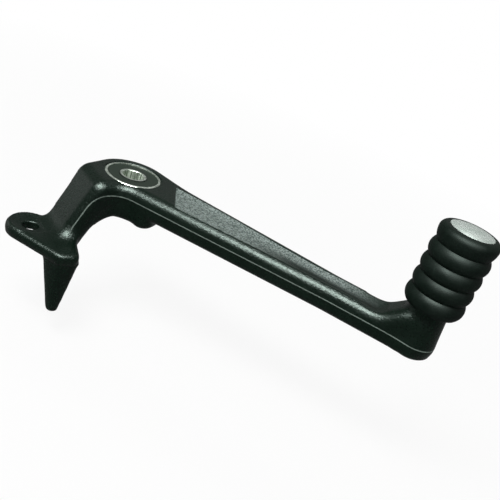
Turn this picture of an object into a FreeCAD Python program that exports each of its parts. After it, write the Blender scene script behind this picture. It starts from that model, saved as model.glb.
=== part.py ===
import FreeCAD, Part
import math
import os
from FreeCAD import Vector

# Motorbike brake pedal. Z is the pivot axis, X points from the pivot to the toe peg,
# and the origin is on the pivot axis, in the casting's parting plane. Millimetres.

# Forward arm of the casting
arm_length = 143.5            # pivot axis to toe peg axis
arm_thickness = 12.0
root_x = 22.0                 # where the arm's far wall leaves the boss
root_half_width = 13.6
corner_half_width = 13.6      # near wall, at its corner with the leg
neck_x = 105.0                # from here to the peg the arm keeps one width
neck_half_width = 8.4
near_edge_radius = 4.5        # top edge on the rider's side and down the leg's right side
far_edge_radius = 2.6         # top edge on the other side
bottom_edge_radius = 3.4
wall_blend_radius = 60.0

# Pivot boss
boss_radius = 18.2
bearing_recess = 0.25         # bearing's face below the boss's top face
seat_chamfer = 0.5
shoulder_width = 1.5          # ledge under the bearing's outer ring
spot_face_radius = 12.8       # machined face round the bore's lower mouth

# Hub under the boss
hub_radius = 17.3
hub_bottom = -10.8
hub_reach = 21.0              # hub's flush near wall ends here
hub_depth = 4.0               # distance of the hub's flank's corner from the pivot, across the arm
hub_edge_radius = 3.0
hub_corner_radius = 4.0       # upright corner where the hub meets the arm's near wall
stop_x = 15.2                 # small stop lug under the hub's near wall
stop_inset = 0.15             # lug's side behind that wall
stop_radius = 4.4
stop_bottom = -11.2
stop_edge_radius = 2.0
web_left = 10.0               # blend from the hub to the leg's inner face
web_right = 11.2
web_radius = 15.0
web_edge_radius = 2.2
web_foot = -20.6
web_step = 0.2                # web's face above the hub's face

# Leg that bends down from the boss
leg_azimuth = 240.0           # direction of the leg about the pivot, from +X
leg_angle = 66.7              # below the arm's plane
leg_thickness = 11.0
leg_left = 9.6                # half widths on the two sides of the leg's centre line
leg_right = 11.7
knee_reach = 21.4             # pivot axis to the knee's corner
knee_radius = 6.5
inner_knee_radius = 9.0
knee_blend_radius = 18.0      # left wall, where the boss narrows to the leg
inner_corner_radius = 9.0     # plan corner between the arm and the leg
leg_end_radius = 1.6
skirt_height = 5.0            # blend from the leg to the foot's top
skirt_reach = 4.2
skirt_sink = 0.1              # skirt's edges inside the leg and the foot
skirt_inset = 2.0             # skirt's hidden side behind the leg's inner face
skirt_left_step = 1.0         # skirt's left side behind the leg's left side
skirt_right_radius = 4.0      # corners of the skirt's sections
skirt_left_radius = 2.5
skirt_inner_radius = 2.0
skirt_hidden_radius = 0.8

# Foot: pushrod lug and prong
foot_top = -21.6
foot_thickness = 5.4
foot_edge_radius = 1.6
foot_inset = 3.4              # foot's left corner inside the leg's left side
foot_side_step = 0.4          # foot's right side behind the leg's right side
lug_side = -2.0               # offset of the lug's hole across the leg
lug_reach = 41.7              # pivot axis to the hole, along the leg
lug_radius = 10.6
pushrod_hole_radius = 3.5
dish_radius = 8.8
dish_depth = 1.8
foot_end_x = 2.4              # where the foot's front edge turns to the nose over the prong
foot_end_radius = 2.4
heel_x = 8.4                  # nose's other end
heel_y = -38.6
heel_radius = 3.0
prong_x = -0.5
prong_y = -39.5
prong_lean_x = 2.3            # tip's shift from the root
prong_lean_y = -2.1
prong_tip = -52.4
prong_root = -28.5            # height of the widest section
prong_width = 20.2
prong_depth = 12.0
prong_azimuth = 28.0          # direction of the prong's width
prong_tip_share = 0.38        # tip size over root size
prong_corner_radius = 2.4
tip_roundness = 1.05          # width of the tip's end over its rounding
prong_tip_radius = 3.1

# Toe peg's post at the arm's end
post_foot_radius = 9.6        # at the parting plane
post_heel = 4.4               # how far the post's foot reaches back under the arm
post_heel_step = 0.3
post_top_radius = 8.0
post_top = 16.4
post_bottom = -5.8
post_edge_radius = 3.6
post_rim_radius = 0.8
ramp_start = 15.8             # foot of the rise to the post, from the peg's axis
ramp_bend = 7.5               # where the rise grows flatter, from the peg's axis
ramp_bend_height = 7.0
ramp_end_height = 9.0
ramp_radius = 10.0
ramp_bend_radius = 8.0

# Shallow trough in the arm's top face
trough_start = 23.5           # middle of its slanted end
trough_slant = 30.0
trough_end = 129.0
trough_depth = 1.0
trough_end_depth = 2.0
trough_rim = 4.0              # arm's wall to the trough's edge, at the root
trough_end_rim = 2.8          # and from the neck to the peg
trough_neck_depth = 1.4
trough_flat = 7.4             # half width of the floor's flat middle, at the root
trough_neck_flat = 3.4
trough_end_flat = 1.8
trough_blend = 3.5            # rounding between floor and rim, at the root
trough_end_blend = 7.0
trough_end_run = 4.0          # length of the rise at the end by the peg
trough_end_radius = 4.0       # plan corners of that end
trough_end_flare = 0.5

# Parting line left by the mould
seam_height = 0.22
seam_width = 0.7
seam_knee_radius = 10.0
seam_rise = 0.5               # above the middle of the arm's thickness

# Pivot bearing, a sealed single-row ball bearing
bearing_bore = 10.0
bearing_od = 26.0
bearing_width = 8.0
ball_diameter = 4.762
ball_count = 7
race_clearance = 0.02
groove_ratio = 1.04           # race groove radius over ball radius
outer_land_rise = 1.9         # ring lands from the balls' pitch circle
inner_land_drop = 1.7
ring_chamfer = 0.3
seal_rim = 1.1                # outer ring's wall at the seal's seat
lip_wall = 1.5                # inner ring's wall under the seal's lip
lip_gap = 0.15
seal_thickness = 0.75
seal_sink = 0.3               # seal's face below the rings' faces
seal_lip_clearance = 0.05
cage_sheet = 0.35
cage_half_band = 1.0
cage_clearance = 0.06
rivet_radius = 0.45
rivet_head_radius = 0.75
rivet_head_height = 0.25

# Toe pin
pin_spigot_radius = 5.0
pin_peen_radius = 6.6
pin_peen_depth = 1.6
pin_shank_radius = 6.5
pin_head_radius = 8.9
pin_head_height = 1.6
pin_head_dome = 1.1

# Ribbed rubber sleeve
ring_count = 4
ring_first = 3.6              # post's top to the lowest ring's crest
ring_pitch = 6.75
ring_radius = 12.35
valley_radius = 11.0
bulb_height = 7.4
bulb_radius = 12.2
bulb_edge_radius = 2.8

half = arm_thickness / 2
foot_bottom = foot_top - foot_thickness
foot_middle = foot_top - foot_thickness / 2
bearing_top = half - bearing_recess
bearing_bottom = bearing_top - bearing_width
bearing_middle = bearing_top - bearing_width / 2
ball_radius = ball_diameter / 2
pitch_radius = (bearing_bore + bearing_od) / 4
shoulder_radius = bearing_od / 2 - shoulder_width
outer_land = pitch_radius + outer_land_rise
inner_land = pitch_radius - inner_land_drop
seal_seat = bearing_od / 2 - seal_rim
lip_radius = bearing_bore / 2 + lip_wall
rubber_top = post_top + ring_first + (ring_count - 0.5) * ring_pitch + bulb_height
head_seat = rubber_top - pin_head_height
leg_turn = math.radians(leg_azimuth)
along = Vector(math.cos(leg_turn), math.sin(leg_turn), 0)
across = Vector(-math.sin(leg_turn), math.cos(leg_turn), 0)
lean = 1 / math.tan(math.radians(leg_angle))
skew = 1 / math.sin(math.radians(leg_angle))
lug_x = (across * lug_side + along * lug_reach).x
lug_y = (across * lug_side + along * lug_reach).y
near_edge = lug_y - lug_radius
axis_z = Vector(0, 0, 1)


def leg_point(side, reach, z):
    """Point given by its offset across the leg, its reach from the pivot axis and its height."""
    point = across * side + along * reach
    return Vector(point.x, point.y, z)


def leg_reach(offset, z):
    """Reach of the leg's surface at an offset from its middle, at a height."""
    return knee_reach + (half - z) * lean - (leg_thickness / 2 - offset) * skew


def rounded_wire(corners):
    """Closed flat wire through (point, radius) corners, each rounded by its own radius."""
    count = len(corners)
    bends = []
    for i in range(count):
        point, radius = corners[i]
        to_last = (corners[i - 1][0] - point).normalize()
        to_next = (corners[(i + 1) % count][0] - point).normalize()
        half_angle = to_last.getAngle(to_next) / 2
        reach = radius / math.tan(half_angle)
        sink = (to_last + to_next).normalize() * (radius / math.sin(half_angle) - radius)
        bends.append((point + to_last * reach, point + sink, point + to_next * reach))
    edges = []
    for i in range(count):
        begin, middle, end = bends[i]
        if corners[i][1] > 0:
            edges.append(Part.Arc(begin, middle, end).toShape())
        next_begin = bends[(i + 1) % count][0]
        if end.distanceToPoint(next_begin) > 1e-6:
            edges.append(Part.LineSegment(end, next_begin).toShape())
    return Part.Wire(edges)


def prism(corners, direction):
    """Solid from a rounded flat outline, pushed along a direction."""
    return Part.Face(rounded_wire(corners)).extrude(direction)


def upright(points, z_low, z_high):
    """Upright prism from (x, y, radius) corners."""
    return prism([(Vector(x, y, z_low), radius) for x, y, radius in points], axis_z * (z_high - z_low))


def revolved(corners):
    """Solid of revolution about Z from corners (radius, height, rounding)."""
    section = rounded_wire([(Vector(r, 0, z), rounding) for r, z, rounding in corners])
    return Part.Face(section).revolve(Vector(0, 0, 0), axis_z, 360)


def cylinder(x, y, z_low, z_high, radius):
    """Upright cylinder between two heights."""
    return Part.makeCylinder(radius, z_high - z_low, Vector(x, y, z_low))


def moved(shape, x, y, z):
    """Copy of a shape, shifted."""
    copy = shape.copy()
    copy.translate(Vector(x, y, z))
    return copy


def touch_point(centre, radius, point, turn):
    """Where a line from a point touches a circle, on the circle's left (1) or right (-1) of it."""
    to_point = point - centre
    angle = math.atan2(to_point.y, to_point.x) + turn * math.acos(radius / to_point.Length)
    return centre + Vector(radius * math.cos(angle), radius * math.sin(angle), 0)


def tangent_corner(centre, radius, first, second):
    """Where the tangents at two points of a circle meet."""
    middle = (first + second) / 2 - centre
    return centre + middle * (radius ** 2 / middle.Length ** 2)


def plan_corners(grow):
    """Outline of arm, boss and leg seen along the pivot, with every wall moved out by grow."""
    pivot = Vector(0, 0, 0)
    boss = boss_radius + grow
    root = Vector(root_x, root_half_width + grow, 0)
    left = leg_point(-leg_left - grow, knee_reach, 0)
    far_touch = touch_point(pivot, boss, root, 1)
    left_touch = touch_point(pivot, boss, left, -1)
    boss_corner = tangent_corner(pivot, boss, far_touch, left_touch)
    end = leg_reach(leg_thickness, foot_bottom)
    left_end = leg_point(-leg_left - grow, end, 0)
    right_end = leg_point(leg_right + grow, end, 0)
    near = -corner_half_width - grow
    corner_x = (leg_right + grow - across.y * near) / across.x
    neck = neck_half_width + grow
    return [
        (arm_length, neck, 0),
        (neck_x, neck, wall_blend_radius),
        (root.x, root.y, wall_blend_radius),
        (boss_corner.x, boss_corner.y, boss),
        (left.x, left.y, knee_blend_radius),
        (left_end.x, left_end.y, 0),
        (right_end.x, right_end.y, 0),
        (corner_x, near, inner_corner_radius),
        (neck_x, -neck, wall_blend_radius),
        (arm_length, -neck, 0),
    ]


def bent_slab(arm_offset, leg_offset, outer_radius, inner_radius):
    """Slab as wide as the casting, of two half thicknesses, that follows the knee down to the foot."""
    side = 2 * arm_length
    corners = [
        (leg_point(-side, -side, arm_offset), 0),
        (leg_point(-side, leg_reach(leg_offset, arm_offset), arm_offset), outer_radius),
        (leg_point(-side, leg_reach(leg_offset, foot_bottom), foot_bottom), 0),
        (leg_point(-side, leg_reach(-leg_offset, foot_bottom), foot_bottom), 0),
        (leg_point(-side, leg_reach(-leg_offset, -arm_offset), -arm_offset), inner_radius),
        (leg_point(-side, -side, -arm_offset), 0),
    ]
    return prism(corners, across * (2 * side))


def ramp():
    """Rise of the arm's top face towards the toe peg's post."""
    side = 2 * neck_half_width
    corners = [
        (Vector(neck_x, -side, 0), 0),
        (Vector(arm_length, -side, 0), 0),
        (Vector(arm_length, -side, half + ramp_end_height), 0),
        (Vector(arm_length - ramp_bend, -side, half + ramp_bend_height), ramp_bend_radius),
        (Vector(arm_length - ramp_start, -side, half), ramp_radius),
        (Vector(neck_x, -side, half), 0),
    ]
    return prism(corners, Vector(0, 2 * side, 0))


def rim_edges(shape, upward, near=True, far=True):
    """Edges where the casting's near and far side walls meet its upper (or lower) skin."""
    chosen = []
    for edge in shape.Edges:
        middle = edge.valueAt((edge.FirstParameter + edge.LastParameter) / 2)
        if abs(middle.x - arm_length) < 1e-4 or abs(middle.z - foot_bottom) < 1e-4:
            continue
        slopes = []
        for face in shape.ancestorsOfType(edge, Part.Face):
            u, v = face.Surface.parameter(middle)
            slopes.append(face.normalAt(u, v).z)
        is_near = middle.y < 0 and middle.dot(across) > 0
        if not (near if is_near else far):
            continue
        walls = [slope for slope in slopes if abs(slope) < 1e-4]
        skins = [slope for slope in slopes if abs(slope) > 0.1 and (slope > 0) == upward]
        if len(walls) == 1 and len(skins) == 1:
            chosen.append(edge)
    return chosen


def level_edges(shape, z):
    """Edges that lie at one height."""
    return [edge for edge in shape.Edges if max(abs(v.Z - z) for v in edge.Vertexes) < 1e-4
            and abs(edge.CenterOfMass.z - z) < 1e-4]


def upright_corners(shape):
    """Upright edges where two walls meet at an angle."""
    chosen = []
    for edge in shape.Edges:
        middle = edge.valueAt((edge.FirstParameter + edge.LastParameter) / 2)
        if abs(edge.tangentAt(edge.FirstParameter).z) < 0.999:
            continue
        normals = []
        for face in shape.ancestorsOfType(edge, Part.Face):
            u, v = face.Surface.parameter(middle)
            normals.append(face.normalAt(u, v))
        if len(normals) == 2 and normals[0].dot(normals[1]) < 0.99:
            chosen.append(edge)
    return chosen


def arm_and_leg():
    """Arm, boss and leg: one bar with rounded edges that turns down at the knee."""
    outline = upright(plan_corners(0), foot_bottom - 1, post_top)
    bar = outline.common(bent_slab(half, leg_thickness / 2, knee_radius, inner_knee_radius))
    bar = bar.fuse(outline.common(ramp())).removeSplitter()
    bar = bar.makeFillet(near_edge_radius, rim_edges(bar, True, far=False))
    bar = bar.makeFillet(far_edge_radius, rim_edges(bar, True, near=False))
    bar = bar.makeFillet(bottom_edge_radius, rim_edges(bar, False))
    return bar.makeFillet(leg_end_radius, level_edges(bar, foot_bottom))


def near_wall(x):
    """Near wall of the arm, as a distance across it."""
    near = -corner_half_width
    corner_x = (leg_right - across.y * near) / across.x
    share = (x - corner_x) / (neck_x - corner_x)
    return near + (corner_half_width - neck_half_width) * share


def hub():
    """Lower part of the boss, flush with the casting's near wall."""
    outline = upright(plan_corners(0), hub_bottom, 0)
    flank = Vector(hub_reach, -hub_depth, 0)
    touch = touch_point(Vector(0, 0, 0), hub_radius, flank, 1)
    front = upright([
        (0, 0, 0),
        (touch.x, touch.y, 0),
        (flank.x, flank.y, hub_corner_radius),
        (hub_reach, -2 * hub_radius, 0),
        (hub_reach / 2, -2 * hub_radius, 0),
    ], hub_bottom, 0)
    body = cylinder(0, 0, hub_bottom, 0, hub_radius).fuse(front)
    body = outline.common(body).removeSplitter()
    body = body.makeFillet(hub_corner_radius, upright_corners(body))
    return body.makeFillet(hub_edge_radius, level_edges(body, hub_bottom))


def stop_lug():
    """Small round lug under the hub, for the stop on the bike's bracket."""
    stop_y = near_wall(stop_x) + stop_inset + stop_radius
    lug = cylinder(stop_x, stop_y, stop_bottom, 0, stop_radius)
    return lug.makeFillet(stop_edge_radius, level_edges(lug, stop_bottom))


def web():
    """Hollow blend that fills the corner between the hub's face and the leg's inner face."""
    inner = -leg_thickness / 2
    face = hub_bottom + web_step
    top = face + 2 * web_edge_radius
    profile = [
        (leg_reach(inner, face) - hub_radius, top, 0),
        (leg_reach(inner, face) - hub_radius, face, 0),
        (leg_reach(inner, face), face, web_radius),
        (leg_reach(inner, web_foot), web_foot, 0),
        (leg_reach(0, web_foot), web_foot, 0),
        (leg_reach(0, top), top, 0),
    ]
    corners = [(leg_point(-web_left, reach, z), radius) for reach, z, radius in profile]
    body = prism(corners, across * (web_left + web_right))
    chosen = []
    for edge in body.Edges:
        middle = edge.valueAt((edge.FirstParameter + edge.LastParameter) / 2)
        side = middle.dot(across)
        at_end = min(abs(side + web_left), abs(side - web_right)) < 1e-4
        low = middle.z < face + 1e-4 and middle.dot(along) < leg_reach(inner / 1.5, middle.z)
        if at_end and low:
            chosen.append(edge)
    return body.makeFillet(web_edge_radius, chosen)


def foot_corners(grow):
    """Outline of the foot, from the leg's left side round the lug to the prong's end."""
    lug = Vector(lug_x, lug_y, 0)
    radius = lug_radius + grow
    near = near_edge - grow
    left = leg_point(-leg_left + foot_inset, leg_reach(0, foot_middle), 0)
    right_reach = leg_reach(-leg_thickness / 2, foot_bottom) + leg_end_radius
    right = leg_point(leg_right - foot_side_step, right_reach, 0)
    left_touch = touch_point(lug, radius, left, 1)
    lug_corner = tangent_corner(lug, radius, left_touch, Vector(lug_x, near, 0))
    return [
        (left.x, left.y, 0),
        (lug_corner.x, lug_corner.y, radius),
        (foot_end_x + grow, near, foot_end_radius),
        (heel_x + grow, heel_y, heel_radius),
        (right.x, right.y, 0),
    ]


def foot():
    """Flat foot with the dished pushrod lug."""
    plate = upright(foot_corners(0), foot_bottom, foot_top)
    plate = plate.makeFillet(foot_edge_radius, level_edges(plate, foot_top) + level_edges(plate, foot_bottom))
    dish_ball = (dish_radius ** 2 + dish_depth ** 2) / (2 * dish_depth)
    return plate.cut(Part.makeSphere(dish_ball, Vector(lug_x, lug_y, foot_top - dish_depth + dish_ball)))


def skirt():
    """Hollow-sided blend between the leg and the foot's top."""
    sections = []
    steps = 6
    for step in range(steps + 1):
        turn = math.pi / 2 * step / steps
        spread = skirt_reach * (1 - math.cos(turn)) - skirt_sink / 2
        z = foot_top + skirt_height * (1 - math.sin(turn)) - skirt_sink
        outer = leg_reach(leg_thickness / 2, z) + spread
        inner = leg_reach(-leg_thickness / 2, z) + skirt_inset + spread
        left = -leg_left + skirt_left_step
        right = leg_right + spread
        sections.append(rounded_wire([
            (leg_point(left, inner, z), skirt_hidden_radius),
            (leg_point(right, inner, z), skirt_inner_radius),
            (leg_point(right, outer, z), skirt_right_radius),
            (leg_point(left, outer, z), skirt_left_radius),
        ]))
    base = Part.Face(sections[-1]).extrude(axis_z * (foot_middle - foot_top))
    return [Part.makeLoft(sections, True, False), base]


def prong_section(z, share, slide, grow):
    """Rounded diamond across the prong, at a share of its full size and of its lean."""
    turn = math.radians(prong_azimuth)
    wide = Vector(math.cos(turn), math.sin(turn), 0) * (prong_width / 2 * share + grow)
    deep = Vector(-math.sin(turn), math.cos(turn), 0) * (prong_depth / 2 * share + grow)
    centre = Vector(prong_x + prong_lean_x * slide, prong_y + prong_lean_y * slide, z)
    radius = prong_corner_radius * share
    return rounded_wire([
        (centre + wide, radius),
        (centre + deep, radius),
        (centre - wide, radius),
        (centre - deep, radius),
    ])


def prong():
    """Tapered prong under the foot's end, with a ridge on its front and a rounded shoulder."""
    spike = Part.makeLoft([
        prong_section(prong_root, 1.0, 0.0, 0.0),
        prong_section(prong_tip, prong_tip_share, 1.0, 0.0),
    ], True, True)
    bullet = revolved([
        (0, prong_tip, 0),
        (prong_tip_radius * tip_roundness, prong_tip, prong_tip_radius),
        (prong_width, prong_root, 0),
        (0, prong_root, 0),
    ])
    spike = spike.common(moved(bullet, prong_x + prong_lean_x, prong_y + prong_lean_y, 0))
    rise = foot_top - 0.4 - prong_root
    shoulder = []
    for step in range(5):
        turn = math.pi / 2 * step / 4 * 0.9
        shoulder.append(prong_section(prong_root + rise * math.sin(turn), math.cos(turn) ** 0.8, 0.0, 0.0))
    return spike.fuse(Part.makeLoft(shoulder, True, False))


def post():
    """Tapered post that carries the toe pin."""
    shape = revolved([
        (0, post_bottom, 0),
        (post_foot_radius, post_bottom, post_edge_radius),
        (post_foot_radius, 0, post_edge_radius / 2),
        (post_top_radius, post_top, post_rim_radius),
        (0, post_top, 0),
    ])
    return moved(shape, arm_length, 0, 0)


def post_foot():
    """Swelling of the arm's underside that runs into the post."""
    radius = post_foot_radius - post_heel_step
    body = cylinder(arm_length - post_heel, 0, post_bottom, 0, radius)
    return body.makeFillet(post_edge_radius, level_edges(body, post_bottom))


def trough_section(x, half_width, flat, depth, blend):
    """Section of the trough: a flat floor with a soft rise to each rim."""
    floor = half - depth
    brim = half + trough_end_depth
    flare = half_width + (half_width - flat) / depth * trough_end_depth
    return rounded_wire([
        (Vector(x, flare, brim), 0),
        (Vector(x, flat, floor), blend),
        (Vector(x, -flat, floor), blend),
        (Vector(x, -flare, brim), 0),
    ])


def trough():
    """Hollow of the arm's top face, flat at the root, rounder and deeper towards the peg."""
    start = root_half_width - trough_rim
    end = neck_half_width - trough_end_rim
    shift = start * math.tan(math.radians(trough_slant))
    side = root_half_width
    first = trough_start - 2 * shift
    hollow = Part.makeLoft([
        trough_section(first, start, trough_flat, trough_depth, trough_blend),
        trough_section(neck_x, end, trough_neck_flat, trough_neck_depth, trough_end_blend),
        trough_section(trough_end, end, trough_end_flat, trough_end_depth, trough_end_blend),
    ], True, True)
    slant = side * math.tan(math.radians(trough_slant))
    brim = half + trough_end_depth
    plan = upright([
        (trough_start - slant, side, 0),
        (trough_start + slant, -side, 0),
        (neck_x, -side, 0),
        (trough_end, -end - trough_end_flare, trough_end_radius),
        (trough_end, end + trough_end_flare, trough_end_radius),
        (neck_x, side, 0),
    ], 0, brim)
    low = half - 2 * trough_end_depth
    rise = prism([
        (Vector(0, -side, low), 0),
        (Vector(trough_end - 2 * trough_end_run, -side, low), 0),
        (Vector(trough_end + trough_end_run, -side, brim), 0),
        (Vector(0, -side, brim), 0),
    ], Vector(0, 2 * side, 0))
    return hollow.common(plan).common(rise)


def seam():
    """Fine raised line left along the mould's parting plane."""
    low = -seam_width / 2
    high = seam_width / 2
    band = upright(plan_corners(seam_height), foot_bottom - 1, post_top)
    band = band.common(bent_slab(high, high, seam_knee_radius, seam_knee_radius))
    ring = cylinder(arm_length, 0, low, high, post_foot_radius + seam_height)
    edge = upright(foot_corners(seam_height), foot_middle + low, foot_middle + high)
    return [moved(band, 0, 0, seam_rise), moved(ring, 0, 0, seam_rise), edge]


def pedal_lever():
    """The one-piece casting."""
    lever = arm_and_leg()
    for piece in [hub(), stop_lug(), web(), foot(), prong(), post(), post_foot()] + skirt() + seam():
        lever = lever.fuse(piece)
    seat_mouth = Part.makeCone(bearing_od / 2, bearing_od / 2 + seat_chamfer, seat_chamfer,
                               Vector(0, 0, half - seat_chamfer))
    peen = Part.makeCone(pin_peen_radius, pin_spigot_radius, pin_peen_depth,
                         Vector(arm_length, 0, post_bottom))
    cuts = [
        trough(),
        cylinder(0, 0, bearing_bottom, half + 1, bearing_od / 2),
        seat_mouth,
        cylinder(0, 0, hub_bottom - 1, bearing_bottom, shoulder_radius),
        cylinder(0, 0, foot_bottom, hub_bottom, spot_face_radius),
        cylinder(lug_x, lug_y, foot_bottom - 1, foot_top, pushrod_hole_radius),
        cylinder(arm_length, 0, post_bottom, post_top, pin_spigot_radius),
        peen,
    ]
    for piece in cuts:
        lever = lever.cut(piece)
    return lever


def bearing_outer_ring():
    """Outer ring with its race groove and the two seal seats."""
    outer = bearing_od / 2
    wide = bearing_width / 2
    seat = wide - seal_sink - seal_thickness
    ring = revolved([
        (seal_seat, -wide, 0),
        (outer, -wide, ring_chamfer),
        (outer, wide, ring_chamfer),
        (seal_seat, wide, 0),
        (seal_seat, seat, 0),
        (outer_land, seat, 0),
        (outer_land, -seat, 0),
        (seal_seat, -seat, 0),
    ])
    groove = ball_radius * groove_ratio
    track = Part.makeTorus(pitch_radius + ball_radius + race_clearance - groove, groove)
    return moved(ring.cut(track), 0, 0, bearing_middle)


def bearing_inner_ring():
    """Inner ring with its race groove, a ledge under each seal's lip and the bore for the pivot bolt."""
    wide = bearing_width / 2
    bore = bearing_bore / 2
    ledge = wide - seal_sink - seal_thickness - lip_gap
    ring = revolved([
        (bore, -wide, ring_chamfer),
        (lip_radius, -wide, 0),
        (lip_radius, -ledge, 0),
        (inner_land, -ledge, 0),
        (inner_land, ledge, 0),
        (lip_radius, ledge, 0),
        (lip_radius, wide, 0),
        (bore, wide, ring_chamfer),
    ])
    groove = ball_radius * groove_ratio
    track = Part.makeTorus(pitch_radius - ball_radius - race_clearance + groove, groove)
    return moved(ring.cut(track), 0, 0, bearing_middle)


def bearing_seal(side):
    """Rubber-faced seal in the outer ring's seat, above (1) or below (-1) the balls."""
    low = bearing_width / 2 - seal_sink - seal_thickness
    high = bearing_width / 2 - seal_sink
    disc = cylinder(0, 0, low, high, seal_seat)
    disc = disc.cut(cylinder(0, 0, low, high, lip_radius + seal_lip_clearance))
    if side < 0:
        disc = disc.mirror(Vector(0, 0, 0), axis_z)
    return moved(disc, 0, 0, bearing_middle)


def ball_places():
    """Ball centres about the bearing's middle."""
    places = []
    for i in range(ball_count):
        turn = 2 * math.pi * i / ball_count
        places.append(Vector(pitch_radius * math.cos(turn), pitch_radius * math.sin(turn), bearing_middle))
    return places


def bearing_balls():
    """The balls, as separate solids."""
    return Part.makeCompound([Part.makeSphere(ball_radius, place) for place in ball_places()])


def cage_band(z_low, z_high):
    """Ring-shaped band that the pressed cage keeps to."""
    band = cylinder(0, 0, z_low, z_high, pitch_radius + cage_half_band)
    return band.cut(cylinder(0, 0, z_low, z_high, pitch_radius - cage_half_band))


def rivet_places():
    """Rivet centres, halfway between the balls."""
    places = []
    for i in range(ball_count):
        turn = 2 * math.pi * (i + 0.5) / ball_count
        places.append(Vector(pitch_radius * math.cos(turn), pitch_radius * math.sin(turn), bearing_middle))
    return places


def bearing_cage(side):
    """One pressed half of the cage: a flat ring with a round pocket over each ball."""
    pocket = ball_radius + cage_clearance
    half_cage = cage_band(bearing_middle, bearing_middle + cage_sheet)
    room = cage_band(bearing_middle, bearing_middle + pocket + cage_sheet)
    for place in ball_places():
        half_cage = half_cage.fuse(Part.makeSphere(pocket + cage_sheet, place).common(room))
    for place in ball_places():
        half_cage = half_cage.cut(Part.makeSphere(pocket, place))
    for place in rivet_places():
        half_cage = half_cage.cut(Part.makeCylinder(rivet_radius, cage_sheet, place))
    if side < 0:
        half_cage = half_cage.mirror(Vector(0, 0, bearing_middle), axis_z)
    return half_cage


def bearing_cage_rivets():
    """Rivets through the flat parts of both cage halves."""
    rivets = []
    for place in rivet_places():
        shank = Part.makeCylinder(rivet_radius, 2 * cage_sheet, place - axis_z * cage_sheet)
        upper = Part.makeCylinder(rivet_head_radius, rivet_head_height, place + axis_z * cage_sheet)
        lower_foot = place - axis_z * (cage_sheet + rivet_head_height)
        lower = Part.makeCylinder(rivet_head_radius, rivet_head_height, lower_foot)
        rivets.append(shank.fuse(upper).fuse(lower).removeSplitter())
    return Part.makeCompound(rivets)


def peg_pin():
    """Turned steel pin, peened under the arm, with a domed head that keeps the rubber on."""
    dome = (pin_head_radius ** 2 + pin_head_dome ** 2) / (2 * pin_head_dome)
    body = revolved([
        (0, post_bottom, 0),
        (pin_peen_radius, post_bottom, 0),
        (pin_spigot_radius, post_bottom + pin_peen_depth, 0),
        (pin_spigot_radius, post_top, 0),
        (pin_shank_radius, post_top, 0),
        (pin_shank_radius, head_seat, 0),
        (pin_head_radius, head_seat, 0),
        (pin_head_radius, rubber_top + pin_head_dome, 0),
        (0, rubber_top + pin_head_dome, 0),
    ])
    ball = Part.makeSphere(dome, Vector(0, 0, rubber_top + pin_head_dome - dome))
    body = body.common(ball.fuse(cylinder(0, 0, post_bottom, head_seat, pin_head_radius)))
    return moved(body.removeSplitter(), arm_length, 0, 0)


def ring_edges():
    """Outer profile of the rubber's rings, from the post's top to the bulb."""
    edges = []
    point = Vector(valley_radius, 0, post_top)
    for i in range(ring_count):
        crest = post_top + ring_first + i * ring_pitch
        end = Vector(valley_radius, 0, crest + ring_pitch / 2)
        edges.append(Part.Arc(point, Vector(ring_radius, 0, crest), end).toShape())
        point = end
    return edges, point


def peg_rubber():
    """Rubber sleeve with round rings and a fuller end that wraps the pin's head."""
    edges, start = ring_edges()
    swell = bulb_radius - start.x
    middle = rubber_top - bulb_edge_radius
    rise = middle - start.z
    bend = (swell ** 2 + rise ** 2) / (2 * swell)
    turn = math.asin(rise / bend) / 2
    centre = bulb_radius - bend
    waist = Vector(centre + bend * math.cos(turn), 0, middle - bend * math.sin(turn))
    side = Vector(bulb_radius, 0, middle)
    slant = bulb_edge_radius * math.sqrt(0.5)
    shoulder = Vector(bulb_radius - bulb_edge_radius + slant, 0, middle + slant)
    brow = Vector(bulb_radius - bulb_edge_radius, 0, rubber_top)
    edges.append(Part.Arc(start, waist, side).toShape())
    edges.append(Part.Arc(side, shoulder, brow).toShape())
    corners = [
        brow,
        Vector(pin_head_radius, 0, rubber_top),
        Vector(pin_head_radius, 0, head_seat),
        Vector(pin_shank_radius, 0, head_seat),
        Vector(pin_shank_radius, 0, post_top),
        Vector(valley_radius, 0, post_top),
    ]
    for first, second in zip(corners, corners[1:]):
        edges.append(Part.LineSegment(first, second).toShape())
    sleeve = Part.Face(Part.Wire(edges)).revolve(Vector(0, 0, 0), axis_z, 360)
    return moved(sleeve, arm_length, 0, 0)


def main():
    os.makedirs("parts", exist_ok=True)
    nodes = {
        "pedal_lever": pedal_lever(),
        "bearing_outer_ring": bearing_outer_ring(),
        "bearing_inner_ring": bearing_inner_ring(),
        "bearing_seal_upper": bearing_seal(1),
        "bearing_seal_lower": bearing_seal(-1),
        "bearing_balls": bearing_balls(),
        "bearing_cage_upper": bearing_cage(1),
        "bearing_cage_lower": bearing_cage(-1),
        "bearing_cage_rivets": bearing_cage_rivets(),
        "peg_pin": peg_pin(),
        "peg_rubber": peg_rubber(),
    }
    for name, shape in nodes.items():
        print(name, shape.isValid(), len(shape.Solids), round(shape.Volume, 2))
        shape.exportStep("parts/" + name + ".step")


main()
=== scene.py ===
import math

import bmesh
import bpy
from mathutils import Matrix, Vector


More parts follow.
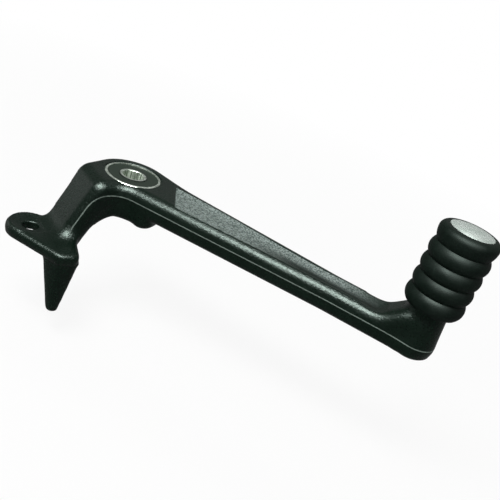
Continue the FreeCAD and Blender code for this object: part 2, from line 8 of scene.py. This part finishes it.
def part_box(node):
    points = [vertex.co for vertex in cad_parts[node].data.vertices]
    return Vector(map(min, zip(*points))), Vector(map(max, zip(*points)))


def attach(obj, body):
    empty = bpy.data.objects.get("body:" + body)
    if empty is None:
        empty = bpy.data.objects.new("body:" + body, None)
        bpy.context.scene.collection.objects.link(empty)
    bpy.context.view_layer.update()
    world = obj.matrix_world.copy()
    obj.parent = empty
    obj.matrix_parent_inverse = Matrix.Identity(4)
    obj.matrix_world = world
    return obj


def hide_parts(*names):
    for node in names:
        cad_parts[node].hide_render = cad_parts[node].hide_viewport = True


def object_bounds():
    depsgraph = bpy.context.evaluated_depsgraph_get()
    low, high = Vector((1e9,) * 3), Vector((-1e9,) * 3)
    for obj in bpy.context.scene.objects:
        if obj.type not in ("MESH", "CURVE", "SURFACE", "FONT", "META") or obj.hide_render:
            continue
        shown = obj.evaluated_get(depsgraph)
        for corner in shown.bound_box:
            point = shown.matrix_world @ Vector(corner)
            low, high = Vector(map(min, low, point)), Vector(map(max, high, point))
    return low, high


# Looks of a motorbike brake pedal: a black painted casting on a sealed ball bearing,
# with a ribbed rubber toe peg. Metres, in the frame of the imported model.

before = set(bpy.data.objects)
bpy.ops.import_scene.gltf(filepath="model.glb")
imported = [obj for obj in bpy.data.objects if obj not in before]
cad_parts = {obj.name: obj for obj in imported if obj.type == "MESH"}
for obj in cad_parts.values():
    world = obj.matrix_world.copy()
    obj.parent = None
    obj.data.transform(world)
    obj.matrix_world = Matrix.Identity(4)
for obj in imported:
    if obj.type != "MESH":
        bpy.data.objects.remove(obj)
cad_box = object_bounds()

MM = 0.001

# Camera: its place, the directions of its picture's right and foot, and its lens
CAMERA_PLACE = Vector((132.52, -236.86, 116.04)) * MM
CAMERA_RIGHT = Vector((0.85320, 0.40350, 0.33051))
CAMERA_DOWN = Vector((0.45956, -0.28187, -0.84223))
CAMERA_LENS = 44.5
CAMERA_SENSOR = 36.0

# Studio
FLOOR_DROP = 12.0 * MM              # floor below the prong's tip
FLOOR_RADIUS = 40.0
FLOOR_SIDES = 64
FLOOR_TONE = (0.85, 0.86, 0.85, 1.0)
FLOOR_ROUGHNESS = 0.9
FLOOR_GLOW = 0.90                   # share of plain white that the camera sees in the floor here
FLOOR_FADE = (0.15, 0.60)           # distances over which the floor turns to plain white
SKY_TONE = (1.0, 1.0, 1.0, 1.0)
SKY_LIGHT = 0.30                    # light that the white surroundings throw on the part
GLOSS_SKY = 0.30                    # surroundings as gloss on the part shows them
GLOSS_FLOOR = 0.22                  # floor as gloss on the part shows it
STUDIO_CENTRE = Vector((60.0, 0.0, 0.0)) * MM
LAMPS = {                           # places are taken from the studio's centre
    "front_softbox": {
        "place": (-0.14, -0.30, 0.62), "size": (0.36, 0.22), "power": 3.8, "gloss_only": False},
    "edge_strip": {
        "place": (0.05, -0.38, 0.54), "size": (0.60, 0.26), "power": 36.0, "gloss_only": True},
    "back_softbox": {
        "place": (0.02, 0.50, 0.64), "size": (0.36, 0.12), "power": 0.6, "gloss_only": False},
    "left_softbox": {
        "place": (-0.70, -0.12, 0.06), "size": (0.36, 0.30), "power": 0.5, "gloss_only": False},
}

# Trough in the arm's top, where the casting is left coarser and its grey is partly painted sheen
TROUGH_START = 23.5 * MM
TROUGH_SLANT = 0.577                # run of the slanted end along the arm, over its width
TROUGH_FADE = 100.0 * MM
TROUGH_END = 131.0 * MM
TROUGH_ROOT_X = 22.0 * MM
TROUGH_NECK_X = 105.0 * MM
TROUGH_ROOT_HALF = 9.6 * MM
TROUGH_NECK_HALF = 5.6 * MM
TROUGH_SOFT_EDGE = 0.5 * MM
TROUGH_LEVEL = (2.0 * MM, 2.5 * MM)     # heights over which the arm's upper side begins
# Toward the neck only the far flank keeps the trough's pale tone as a painted sheen, and the near half
# turns back to black as painted shade
SHEEN_FLANK_BAND = (-1.5 * MM, 3.0 * MM)       # the far flank begins across this band
SHEEN_FLANK_ONLY = (0.45, 0.95)               # way to the neck over which only the far flank stays grey

# Line of the mould's parting: level on the arm, then down the middle of the leg
SEAM_LEVEL = 0.5 * MM
SEAM_EDGE = (0.1 * MM, 0.3 * MM)        # the line fades out over these distances from its middle
SEAM_FOOT = -19.0 * MM                  # the line ends here, above the foot
SEAM_FOOT_FADE = 3.0 * MM
SEAM_TONE = (0.210, 0.260, 0.230, 1.0)
LEG_AZIMUTH = math.radians(240.0)
LEG_FALL = math.radians(66.7)
KNEE_REACH = 21.4 * MM
KNEE_ROUNDING = 9.9 * MM

# Softening of the casting
DOUBLES = 0.01 * MM
SKIN_STEP = 0.5 * MM
SMOOTH_SHARE = 0.5
LOWER_EDGES_TOP = -3.0 * MM
HUB_REACH = 15.0 * MM
FOOT_TOP = -15.0 * MM
PUSHROD_HOLE = Vector((-22.58 * MM, -35.11 * MM))
DISH_REACH = 9.4 * MM
CREASE_LOW = -28.0 * MM                 # the prong leaves the foot's underside between these levels
CREASE_HIGH = -26.4 * MM
PRONG_TOP = -27.0 * MM
PEG_AXIS = Vector((143.5 * MM, 0.0))
PIN_REACH = 7.6 * MM
PEG_ROOT_X = 118.0 * MM
PEG_ROOT_LOW = -4.0 * MM
PEG_ROOT_HIGH = 15.0 * MM
PEEN_RADIUS = 6.7 * MM
PEEN_OPENING = 2.0 * MM
PEEN_SIDES = 96

# Most values of a noise lie in its middle
NOISE_MIDDLE = (0.3, 0.7)

# Black paint
PAINT_BLACK = (0.0006, 0.0062, 0.0026, 1.0)
PAINT_PALER = (0.0020, 0.0090, 0.0046, 1.0)
PAINT_TINT = (0.83, 1.0, 0.92, 1.0)
PAINT_GLOSS = 0.18
PAINT_ROUGHNESS = 0.31
PAINT_GRAIN = 0.55
PATCH_SIZE = 14.0 * MM
PATCH_SPAN = (0.3, 0.75)
PEEL_SIZE = 2.6 * MM
PEEL_DEPTH = 0.10 * MM
PEEL_STRENGTH = 0.35
GRAIN_SIZE = 0.8 * MM
GRAIN_DEPTH = 0.36 * MM
GRAIN_ROUGHNESS = 0.05

# Coarse sand-cast skin of the trough: its pale specks are partly a greyer skin and partly painted sheen
SAND_SIZE = 0.75 * MM
SAND_SPAN = (0.36, 0.64)
SAND_DARK = (0.048, 0.068, 0.060, 1.0)
SAND_PALE_AND_SHEEN = (0.272, 0.320, 0.301, 1.0)
SAND_ROUGHNESS = 0.62
SAND_GRAIN = 0.9

# Rubber of the sleeve and of the seals
SLEEVE_BLACK = (0.0012, 0.0056, 0.0030, 1.0)
SLEEVE_BLOOM = (0.0036, 0.0088, 0.0058, 1.0)
SLEEVE_GLOSS = 0.08
SLEEVE_ROUGHNESS = (0.46, 0.58)
SLEEVE_SKIN_DEPTH = 0.10 * MM
SLEEVE_SKIN_STRENGTH = 0.5
BLOOM_SIZE = 5.0 * MM
SLEEVE_SKIN_SIZE = 0.4 * MM
SEAL_DARK = (0.0060, 0.0160, 0.0080, 1.0)
SEAL_PALE = (0.0125, 0.0265, 0.0150, 1.0)
SEAL_ROUGHNESS = (0.5, 0.62)
SEAL_SKIN_SIZE = 0.35 * MM
SEAL_SKIN_DEPTH = 0.04 * MM
SEAL_SKIN_STRENGTH = 0.4

# Steel of the bearing's rings
BORE_RADIUS = 5.0 * MM
BORE_EDGE = (BORE_RADIUS + 0.02 * MM, BORE_RADIUS + 0.12 * MM)
INNER_LIP = 6.1 * MM                    # the inner ring's face is bright up to here
OUTER_LIP = 11.6 * MM                   # the outer ring's face is bright from here
LIP_BLUR = 0.1 * MM
FACE_DARK = (0.40, 0.46, 0.40, 1.0)
FACE_PALE = (0.62, 0.68, 0.61, 1.0)
FACE_GREYED = (0.050, 0.064, 0.052, 1.0)
# The bore's pale tone with dark streaks along it, on a less metallic surface, is a painted reflection in
# its wall
BORE_SHADE_STREAK = (0.20, 0.25, 0.19, 1.0)
BORE_REFLECTION_STREAK = (0.64, 0.71, 0.62, 1.0)
BORE_SPAN = (0.4, 0.6)
BORE_METALLIC = 0.35
RING_ROUGHNESS = (0.26, 0.40)
RING_MARK_SIZE = 0.9 * MM
# The stretch also runs the bore's painted reflection streaks along its axis
RING_MARK_STRETCH = (1.0, 1.0, 12.0)    # marks run along the bore
RING_MARK_DEPTH = 0.02 * MM
RING_MARK_STRENGTH = 0.2

# Steel of the toe pin
PIN_DULL = (0.60, 0.70, 0.64, 1.0)
PIN_BRIGHT = (0.72, 0.80, 0.75, 1.0)
PIN_METALLIC = 0.55
PIN_ROUGHNESS = (0.20, 0.30)
PIN_STAIN_SIZE = 4.0 * MM
TURNING_STEP = 0.7 * MM
TURNING_DEPTH = 0.01 * MM
TURNING_STRENGTH = 0.2

# Bare steel of the balls and the cage
BALL_TONE = (0.72, 0.73, 0.72)
BALL_ROUGHNESS = 0.10
CAGE_TONE = (0.50, 0.51, 0.49)
CAGE_ROUGHNESS = 0.34
STEEL_STAINED = 0.72                    # share of the tone that a stain leaves
STEEL_STAIN_SIZE = 3.0 * MM
STEEL_STAIN_SPAN = (0.35, 0.8)
STEEL_SMOOTHEST = 0.75                  # shares of the steel's roughness
STEEL_ROUGHEST = 1.3
STEEL_MARK_SIZE = 0.6 * MM
STEEL_MARK_DEPTH = 0.02 * MM
STEEL_MARK_STRENGTH = 0.25


class Wiring:
    """Short ways to add and join the nodes of one node tree."""

    def __init__(self, tree):
        self.tree = tree

    def add(self, kind, **settings):
        node = self.tree.nodes.new(kind)
        for setting, value in settings.items():
            setattr(node, setting, value)
        return node

    def join(self, source, target):
        """Links a socket to another, or sets a plain value on it."""
        if isinstance(source, bpy.types.NodeSocket):
            self.tree.links.new(source, target)
        else:
            target.default_value = source

    def math(self, operation, first, second=0.0):
        node = self.add("ShaderNodeMath", operation=operation)
        self.join(first, node.inputs[0])
        self.join(second, node.inputs[1])
        return node.outputs[0]

    def seen_white(self, gloss):
        """Share of plain white that a ray sees: all of it from the camera, gloss of it in gloss."""
        path = self.add("ShaderNodeLightPath").outputs
        in_gloss = self.math("MULTIPLY", path["Is Glossy Ray"], gloss)
        seen = self.math("MAXIMUM", path["Is Camera Ray"], in_gloss)
        return self.math("MAXIMUM", seen, path["Is Transmission Ray"])


class Finish(Wiring):
    """A node material: its shader, its surface coordinates and the patterns on them."""

    def __init__(self, name):
        self.material = bpy.data.materials.new(name)
        self.material.use_nodes = True
        super().__init__(self.material.node_tree)
        self.shader = self.tree.nodes["Principled BSDF"]
        self.place = self.add("ShaderNodeTexCoord").outputs["Object"]

    def set(self, **values):
        for socket, value in values.items():
            self.join(value, self.shader.inputs[socket.replace("_", " ")])

    def noise(self, size, detail=2.0, roughness=0.5, stretch=(1.0, 1.0, 1.0)):
        """Noise whose grains are about size across, stretched along the part's axes."""
        mapping = self.add("ShaderNodeMapping")
        self.join(self.place, mapping.inputs["Vector"])
        mapping.inputs["Scale"].default_value = [1.0 / share for share in stretch]
        node = self.add("ShaderNodeTexNoise")
        self.join(mapping.outputs["Vector"], node.inputs["Vector"])
        node.inputs["Scale"].default_value = 1.0 / size
        node.inputs["Detail"].default_value = detail
        node.inputs["Roughness"].default_value = roughness
        return node.outputs["Fac"]

    def fade(self, value, low, high, at_low=0.0, at_high=1.0, kind="SMOOTHSTEP"):
        """A change from at_low to at_high as value goes from low to high."""
        node = self.add("ShaderNodeMapRange", interpolation_type=kind)
        self.join(value, node.inputs["Value"])
        self.join(low, node.inputs["From Min"])
        self.join(high, node.inputs["From Max"])
        self.join(at_low, node.inputs["To Min"])
        self.join(at_high, node.inputs["To Max"])
        return node.outputs["Result"]

    def spread(self, noise, at_low=0.0, at_high=1.0):
        """A change from at_low to at_high over the middle of a noise's values."""
        return self.fade(noise, *NOISE_MIDDLE, at_low, at_high)

    def mix(self, share, first, second):
        node = self.add("ShaderNodeMix", data_type="RGBA")
        self.join(share, node.inputs["Factor"])
        self.join(first, node.inputs[6])
        self.join(second, node.inputs[7])
        return node.outputs[2]

    def axes(self):
        node = self.add("ShaderNodeSeparateXYZ")
        self.join(self.place, node.inputs["Vector"])
        return node.outputs

    def from_axis(self, x, y):
        """Distance from the upright axis through x, y."""
        level = self.add("ShaderNodeVectorMath", operation="MULTIPLY")
        self.join(self.place, level.inputs[0])
        level.inputs[1].default_value = (1.0, 1.0, 0.0)
        distance = self.add("ShaderNodeVectorMath", operation="DISTANCE")
        self.join(level.outputs["Vector"], distance.inputs[0])
        distance.inputs[1].default_value = (x, y, 0.0)
        return distance.outputs["Value"]

    def bump(self, height, depth, strength, below=None):
        node = self.add("ShaderNodeBump")
        self.join(height, node.inputs["Height"])
        node.inputs["Distance"].default_value = depth
        self.join(strength, node.inputs["Strength"])
        if below is not None:
            self.join(below, node.inputs["Normal"])
        return node.outputs["Normal"]


def trough_and_sheen_mask(finish):
    """1 on the coarse floor of the arm's trough, 0 elsewhere on the casting. Its pale tone is partly
    painted sheen. Toward the neck it stays only on the far flank, and the near half is left black as
    painted shade.
    """
    x, y, z = finish.axes()
    half = finish.fade(x, TROUGH_ROOT_X, TROUGH_NECK_X, TROUGH_ROOT_HALF, TROUGH_NECK_HALF)
    inset = finish.math("SUBTRACT", half, finish.math("ABSOLUTE", y))
    past_start = finish.math("SUBTRACT", x, TROUGH_START)
    past_slant = finish.math("ADD", past_start, finish.math("MULTIPLY", y, TROUGH_SLANT))
    along = finish.fade(x, TROUGH_ROOT_X, TROUGH_NECK_X)
    sheen_flank = finish.fade(y, *SHEEN_FLANK_BAND)
    mask = finish.fade(inset, 0.0, TROUGH_SOFT_EDGE)
    for limit in (
        finish.fade(past_slant, 0.0, TROUGH_SOFT_EDGE),
        finish.fade(x, TROUGH_FADE, TROUGH_END, 1.0, 0.0),
        finish.fade(z, *TROUGH_LEVEL),
        # painted sheen on the far flank only and painted shade on the near half, on the way to the neck
        finish.fade(along, *SHEEN_FLANK_ONLY, 1.0, sheen_flank),
    ):
        mask = finish.math("MULTIPLY", mask, limit)
    return mask


def seam_mask(finish):
    """1 on the fine line where the mould's halves met, 0 elsewhere."""
    x, y, z = finish.axes()
    above_arm = finish.math("SUBTRACT", z, SEAM_LEVEL)
    reach = finish.math(
        "ADD",
        finish.math("MULTIPLY", x, math.cos(LEG_AZIMUTH)),
        finish.math("MULTIPLY", y, math.sin(LEG_AZIMUTH)))
    above_leg = finish.math(
        "ADD",
        finish.math("MULTIPLY", finish.math("SUBTRACT", reach, KNEE_REACH), math.sin(LEG_FALL)),
        finish.math("MULTIPLY", above_arm, math.cos(LEG_FALL)))
    bend = finish.add("ShaderNodeMath", operation="SMOOTH_MAX")
    finish.join(above_arm, bend.inputs[0])
    finish.join(above_leg, bend.inputs[1])
    finish.join(KNEE_ROUNDING, bend.inputs[2])
    apart = finish.math("ABSOLUTE", bend.outputs[0])
    line = finish.fade(apart, *SEAM_EDGE, 1.0, 0.0)
    return finish.math("MULTIPLY", line, finish.fade(z, SEAM_FOOT, SEAM_FOOT + SEAM_FOOT_FADE))


def black_paint():
    """Satin black paint over a sand-cast skin, coarser and greyer in the trough, where the grey is partly
    painted sheen.
    """
    finish = Finish("black_paint")
    trough = trough_and_sheen_mask(finish)
    grain = finish.noise(GRAIN_SIZE, detail=3.0, roughness=0.65)
    ripple = finish.noise(PEEL_SIZE, detail=1.5)
    patches = finish.noise(PATCH_SIZE, detail=3.0)
    specks = finish.noise(SAND_SIZE, roughness=0.7)
    paint = finish.mix(finish.fade(patches, *PATCH_SPAN), PAINT_BLACK, PAINT_PALER)
    # the trough's pale specks are partly a greyer skin and partly painted sheen
    sand = finish.mix(finish.fade(specks, *SAND_SPAN), SAND_DARK, SAND_PALE_AND_SHEEN)
    roughness = finish.fade(trough, 0.0, 1.0, PAINT_ROUGHNESS, SAND_ROUGHNESS)
    unevenness = finish.spread(grain, -GRAIN_ROUGHNESS, GRAIN_ROUGHNESS)
    coarseness = finish.fade(trough, 0.0, 1.0, PAINT_GRAIN, SAND_GRAIN)
    orange_peel = finish.bump(ripple, PEEL_DEPTH, PEEL_STRENGTH)
    finish.set(
        Base_Color=finish.mix(seam_mask(finish), finish.mix(trough, paint, sand), SEAM_TONE),
        Roughness=finish.math("ADD", roughness, unevenness),
        Normal=finish.bump(grain, GRAIN_DEPTH, coarseness, orange_peel),
        Specular_IOR_Level=PAINT_GLOSS,
        Specular_Tint=PAINT_TINT,
    )
    return finish.material


def sleeve_rubber():
    """Black moulded rubber with a faint bloom."""
    finish = Finish("sleeve_rubber")
    bloom = finish.noise(BLOOM_SIZE, detail=4.0)
    skin = finish.noise(SLEEVE_SKIN_SIZE)
    finish.set(
        Base_Color=finish.mix(bloom, SLEEVE_BLACK, SLEEVE_BLOOM),
        Roughness=finish.spread(bloom, *SLEEVE_ROUGHNESS),
        Normal=finish.bump(skin, SLEEVE_SKIN_DEPTH, SLEEVE_SKIN_STRENGTH),
        Specular_IOR_Level=SLEEVE_GLOSS,
        Specular_Tint=PAINT_TINT,
    )
    return finish.material


def seal_rubber():
    """Dull black rubber of the bearing's seals."""
    finish = Finish("seal_rubber")
    skin = finish.noise(SEAL_SKIN_SIZE)
    finish.set(
        Base_Color=finish.mix(skin, SEAL_DARK, SEAL_PALE),
        Roughness=finish.spread(skin, *SEAL_ROUGHNESS),
        Normal=finish.bump(skin, SEAL_SKIN_DEPTH, SEAL_SKIN_STRENGTH),
        Specular_IOR_Level=PAINT_GLOSS,
    )
    return finish.material


def ring_steel():
    """Ground steel of the bearing's rings: greyed faces, and a bore in painted reflection, pale with dark
    streaks along it.
    """
    finish = Finish("bearing_steel")
    radius = finish.from_axis(0.0, 0.0)
    marks = finish.noise(RING_MARK_SIZE, stretch=RING_MARK_STRETCH)
    past_inner_lip = finish.fade(radius, INNER_LIP - LIP_BLUR, INNER_LIP + LIP_BLUR)
    inside_outer_lip = finish.fade(radius, OUTER_LIP - LIP_BLUR, OUTER_LIP + LIP_BLUR, 1.0, 0.0)
    between_lips = finish.math("MULTIPLY", past_inner_lip, inside_outer_lip)
    in_bore = finish.fade(radius, *BORE_EDGE, 1.0, 0.0)
    face = finish.mix(finish.spread(marks), FACE_DARK, FACE_PALE)
    face = finish.mix(between_lips, face, FACE_GREYED)
    # painted reflection: pale bore wall with dark streaks along it
    bore = finish.mix(finish.fade(marks, *BORE_SPAN), BORE_SHADE_STREAK, BORE_REFLECTION_STREAK)
    finish.set(
        Base_Color=finish.mix(in_bore, face, bore),
        Roughness=finish.spread(marks, *RING_ROUGHNESS),
        Metallic=finish.fade(in_bore, 0.0, 1.0, 1.0, BORE_METALLIC),
        Normal=finish.bump(marks, RING_MARK_DEPTH, RING_MARK_STRENGTH),
    )
    return finish.material


def pin_steel():
    """Satin turned steel of the toe pin, with faint turning marks round its axis."""
    finish = Finish("satin_steel")
    turning = finish.add("ShaderNodeTexNoise", noise_dimensions="1D")
    finish.join(finish.from_axis(*PEG_AXIS), turning.inputs["W"])
    turning.inputs["Scale"].default_value = 1.0 / TURNING_STEP
    rings = turning.outputs["Fac"]
    stain = finish.noise(PIN_STAIN_SIZE)
    finish.set(
        Base_Color=finish.mix(finish.spread(stain), PIN_DULL, PIN_BRIGHT),
        Roughness=finish.spread(rings, *PIN_ROUGHNESS),
        Normal=finish.bump(rings, TURNING_DEPTH, TURNING_STRENGTH),
        Metallic=PIN_METALLIC,
    )
    return finish.material


def bare_steel(name, tone, roughness):
    """Bare steel with fine marks and faint stains."""
    finish = Finish(name)
    marks = finish.noise(STEEL_MARK_SIZE, detail=3.0)
    stain = finish.noise(STEEL_STAIN_SIZE, detail=3.0)
    stained = [STEEL_STAINED * part for part in tone]
    finish.set(
        Base_Color=finish.mix(finish.fade(stain, *STEEL_STAIN_SPAN), (*tone, 1.0), (*stained, 1.0)),
        Roughness=finish.spread(marks, roughness * STEEL_SMOOTHEST, roughness * STEEL_ROUGHEST),
        Normal=finish.bump(marks, STEEL_MARK_DEPTH, STEEL_MARK_STRENGTH),
        Metallic=1.0,
    )
    return finish.material


def object_from(shape, name):
    """Makes a bmesh an object of the scene."""
    mesh = bpy.data.meshes.new(name)
    shape.to_mesh(mesh)
    shape.free()
    thing = bpy.data.objects.new(name, mesh)
    bpy.context.collection.objects.link(thing)
    return thing


def floor_white():
    """Pale matt floor that the camera sees as white, and that still takes a shadow."""
    finish = Finish("floor_white")
    finish.set(Base_Color=FLOOR_TONE, Roughness=FLOOR_ROUGHNESS, Specular_IOR_Level=0.0)
    distance = finish.add("ShaderNodeVectorMath", operation="LENGTH")
    finish.join(finish.place, distance.inputs[0])
    whiteness = finish.fade(distance.outputs["Value"], *FLOOR_FADE, FLOOR_GLOW, 1.0, kind="LINEAR")
    white = finish.seen_white(GLOSS_FLOOR)
    glow = finish.add("ShaderNodeEmission")
    finish.join(white, glow.inputs["Strength"])
    blend = finish.add("ShaderNodeMixShader")
    finish.join(finish.math("MULTIPLY", finish.math("GREATER_THAN", white), whiteness), blend.inputs["Fac"])
    finish.join(finish.shader.outputs[0], blend.inputs[1])
    finish.join(glow.outputs[0], blend.inputs[2])
    finish.join(blend.outputs[0], finish.tree.nodes["Material Output"].inputs["Surface"])
    return finish.material


def studio_floor():
    """Plain pale disc a little below the part."""
    disc = bmesh.new()
    level = Matrix.Translation((0.0, 0.0, cad_box[0][2] - FLOOR_DROP))
    bmesh.ops.create_circle(disc, cap_ends=True, segments=FLOOR_SIDES, radius=FLOOR_RADIUS, matrix=level)
    floor = object_from(disc, "studio_floor")
    floor.data.materials.append(floor_white())


def white_surroundings():
    """White background for the camera, a dimmer one in gloss, and a weak soft light on the part."""
    world = bpy.data.worlds.new("white_surroundings")
    bpy.context.scene.world = world
    world.use_nodes = True
    wiring = Wiring(world.node_tree)
    background = world.node_tree.nodes["Background"]
    background.inputs["Color"].default_value = SKY_TONE
    level = wiring.math("MAXIMUM", wiring.seen_white(GLOSS_SKY), SKY_LIGHT)
    wiring.join(level, background.inputs["Strength"])


def softboxes():
    """The lamps, each turned to the studio's centre."""
    for name, lamp in LAMPS.items():
        light = bpy.data.lights.new(name, "AREA")
        light.shape = "RECTANGLE"
        light.size, light.size_y = lamp["size"]
        light.energy = lamp["power"]
        box = bpy.data.objects.new(name, light)
        box.location = STUDIO_CENTRE + Vector(lamp["place"])
        box.rotation_euler = (STUDIO_CENTRE - box.location).to_track_quat("-Z", "Y").to_euler()
        box.visible_diffuse = not lamp["gloss_only"]
        bpy.context.collection.objects.link(box)


def camera():
    """Camera at the photograph's viewing angle."""
    lens = bpy.data.cameras.new("camera")
    lens.lens = CAMERA_LENS
    lens.sensor_width = CAMERA_SENSOR
    eye = bpy.data.objects.new("camera", lens)
    back = CAMERA_RIGHT.cross(-CAMERA_DOWN)
    turn = Matrix((CAMERA_RIGHT, -CAMERA_DOWN, back)).transposed().to_4x4()
    eye.matrix_world = Matrix.Translation(CAMERA_PLACE) @ turn
    bpy.context.collection.objects.link(eye)
    bpy.context.scene.camera = eye


def pin_end_cutter():
    """A short plug that opens the arm's underside over the pin's peened end."""
    plug = bmesh.new()
    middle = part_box("peg_pin")[0].z - PEEN_OPENING / 2
    bmesh.ops.create_cone(
        plug, cap_ends=True, segments=PEEN_SIDES, radius1=PEEN_RADIUS, radius2=PEEN_RADIUS,
        depth=PEEN_OPENING, matrix=Matrix.Translation((*PEG_AXIS, middle)))
    return object_from(plug, "pin_end_cutter")


def even_casting():
    """A copy of the lever, open at the pin's end, with an even skin of small faces."""
    copy = bmesh.new()
    copy.from_mesh(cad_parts["pedal_lever"].data)
    bmesh.ops.remove_doubles(copy, verts=copy.verts, dist=DOUBLES)
    casting = object_from(copy, "pedal_casting")
    cutter = pin_end_cutter()
    opened = casting.modifiers.new("open_pin_end", "BOOLEAN")
    opened.object = cutter
    opened.operation = "DIFFERENCE"
    even = casting.modifiers.new("even_skin", "REMESH")
    even.mode = "VOXEL"
    even.voxel_size = SKIN_STEP
    scene_state = bpy.context.evaluated_depsgraph_get()
    casting.data = bpy.data.meshes.new_from_object(casting.evaluated_get(scene_state))
    casting.modifiers.clear()
    bpy.data.objects.remove(cutter)
    return casting


def off_pin(at):
    return (at.xy - PEG_AXIS).length > PIN_REACH


def on_foot(at):
    """Clear of the lug's dish and of the crease over the prong, which stay crisp."""
    off_dish = (at.xy - PUSHROD_HOLE).length > DISH_REACH
    off_crease = not CREASE_LOW < at.z < CREASE_HIGH
    return off_dish and off_crease


def lower_edges(at):
    return at.z < LOWER_EDGES_TOP and at.xy.length > HUB_REACH and on_foot(at) and off_pin(at)


def foot_edges(at):
    return at.z < FOOT_TOP and on_foot(at)


def prong(at):
    return at.z < CREASE_LOW


def peg_root(at):
    return at.x > PEG_ROOT_X and PEG_ROOT_LOW < at.z < PEG_ROOT_HIGH and off_pin(at)


SOFT_PASSES = {lower_edges: 14, foot_edges: 24, prong: 20, peg_root: 40}


def stretch_prong(skin):
    """Gives the prong back the length that smoothing took from its tip."""
    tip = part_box("pedal_lever")[0].z
    lowest = min(point.co.z for point in skin.verts)
    stretch = (tip - PRONG_TOP) / (lowest - PRONG_TOP)
    for point in skin.verts:
        if point.co.z < PRONG_TOP:
            point.co.z = PRONG_TOP + (point.co.z - PRONG_TOP) * stretch


def softened_casting(material):
    """The lever with a cast skin: its edges run into each other at the foot, prong and peg."""
    casting = even_casting()
    skin = bmesh.new()
    skin.from_mesh(casting.data)
    for in_zone, passes in SOFT_PASSES.items():
        chosen = [point for point in skin.verts if in_zone(point.co)]
        for _ in range(passes):
            bmesh.ops.smooth_vert(
                skin, verts=chosen, factor=SMOOTH_SHARE, use_axis_x=True, use_axis_y=True, use_axis_z=True)
    stretch_prong(skin)
    for face in skin.faces:
        face.smooth = True
    skin.to_mesh(casting.data)
    skin.free()
    casting.data.materials.clear()
    casting.data.materials.append(material)
    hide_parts("pedal_lever")
    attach(casting, "lever")


def dress(material, *nodes):
    """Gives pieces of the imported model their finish."""
    for node in nodes:
        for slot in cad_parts[node].material_slots:
            slot.material = material


camera()
white_surroundings()
studio_floor()
softboxes()

softened_casting(black_paint())
dress(sleeve_rubber(), "peg_rubber")
dress(pin_steel(), "peg_pin")
dress(seal_rubber(), "bearing_seal_upper", "bearing_seal_lower")
dress(ring_steel(), "bearing_outer_ring", "bearing_inner_ring")
dress(bare_steel("ball_steel", BALL_TONE, BALL_ROUGHNESS), "bearing_balls")
dress(
    bare_steel("pressed_steel", CAGE_TONE, CAGE_ROUGHNESS),
    "bearing_cage_upper", "bearing_cage_lower", "bearing_cage_rivets")

bpy.context.scene.view_settings.view_transform = "Standard"
